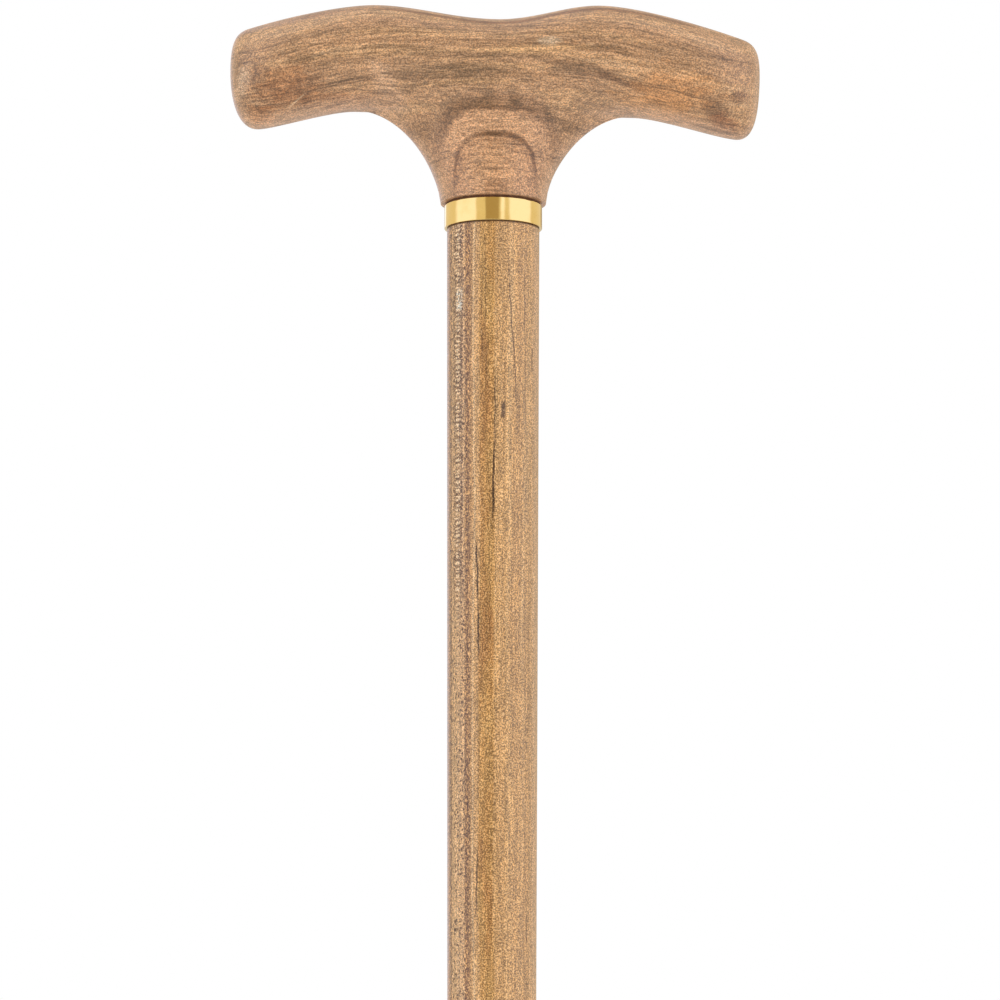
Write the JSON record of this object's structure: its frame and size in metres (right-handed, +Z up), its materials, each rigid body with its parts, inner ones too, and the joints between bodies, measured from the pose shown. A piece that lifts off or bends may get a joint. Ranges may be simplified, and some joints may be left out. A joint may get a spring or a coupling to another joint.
{
  "type": "gadget cane",
  "caption": "Wooden T-handled walking cane; the handle unscrews from a brass collar to free a hidden glass vial with a cap and a drinking cup.",
  "frame": {"origin": "the palm point on top of the handle's saddle, on the shaft's axis", "axes": "+Z up along the shaft towards the handle, +X along the handle to the right in the picture, -Y towards the camera"},
  "size_m": [0.1282, 0.029, 0.9175],
  "materials": {
    "shaft_wood": "satin lacquer over pale maple with ray fleck",
    "handle_wood": "satin lacquer over straight-grained brown walnut",
    "collar_brass": "polished",
    "insert_brass": "turned",
    "inner_brass": "plain drawn or turned",
    "cap_brass": "polished with a milled edge",
    "cup_steel": "polished plate",
    "spring_steel": "bright wire",
    "washer_steel": "zinc plated",
    "screw_steel": "zinc plated",
    "vial_glass": "clear, fire polished",
    "seal_cork": "natural cork",
    "washer_fibre": "dark vulcanised fibre",
    "pad_felt": "dense wool felt",
    "seal_rubber": "smooth",
    "tip_rubber": "moulded, matt"
  },
  "bodies": {
    "shaft": {"shaft": "shaft_wood", "shaft_lower": "shaft_wood", "collar": "collar_brass", "thread_socket": "inner_brass", "bore_liner": "inner_brass", "liner_plug": "inner_brass", "lift_spring": "spring_steel", "rubber_tip": "tip_rubber", "tip_washer": "washer_steel"},
    "follower": {"follower_cup": "inner_brass", "follower_pad": "pad_felt"},
    "vial": {"vial": "vial_glass", "vial_ring_upper": "seal_rubber", "vial_ring_lower": "seal_rubber"},
    "cap": {"vial_cap": "cap_brass", "cap_seal": "seal_cork"},
    "cup": {"drinking_cup": "cup_steel"},
    "seal_washer": {"seal_washer": "washer_fibre"},
    "handle": {"handle": "handle_wood", "handle_insert": "insert_brass", "insert_screw": "screw_steel", "spigot_pad": "seal_rubber"}
  },
  "joints": [
    {"name": "follower_rise", "type": "slide", "parent": "shaft", "child": "follower", "axis": [0, 0, 1], "range_m": [0, 0.01], "deforming": ["lift_spring"]},
    {"name": "vial_lift", "type": "slide", "parent": "follower", "child": "vial", "axis": [0, 0, 1], "range_m": [0, 0.24]},
    {"name": "cap_pull", "type": "slide", "parent": "vial", "child": "cap", "axis": [0, 0, 1], "range_m": [0, 0.02]},
    {"name": "cup_lift", "type": "slide", "parent": "cap", "child": "cup", "axis": [0, 0, 1], "range_m": [0, 0.04]},
    {"name": "handle_lift", "type": "slide", "parent": "cup", "child": "seal_washer", "axis": [0, 0, 1], "range_m": [0, 0.08]},
    {"name": "handle_turn", "type": "hinge", "parent": "seal_washer", "child": "handle", "pos_m": [0, 0, 0], "axis": [0, 0, 1], "range_deg": [0, 1800]}
  ],
  "couplings": [
    {"joint": "follower_rise", "follows": "handle_turn", "m_per_rad": 0.00031831}
  ]
}
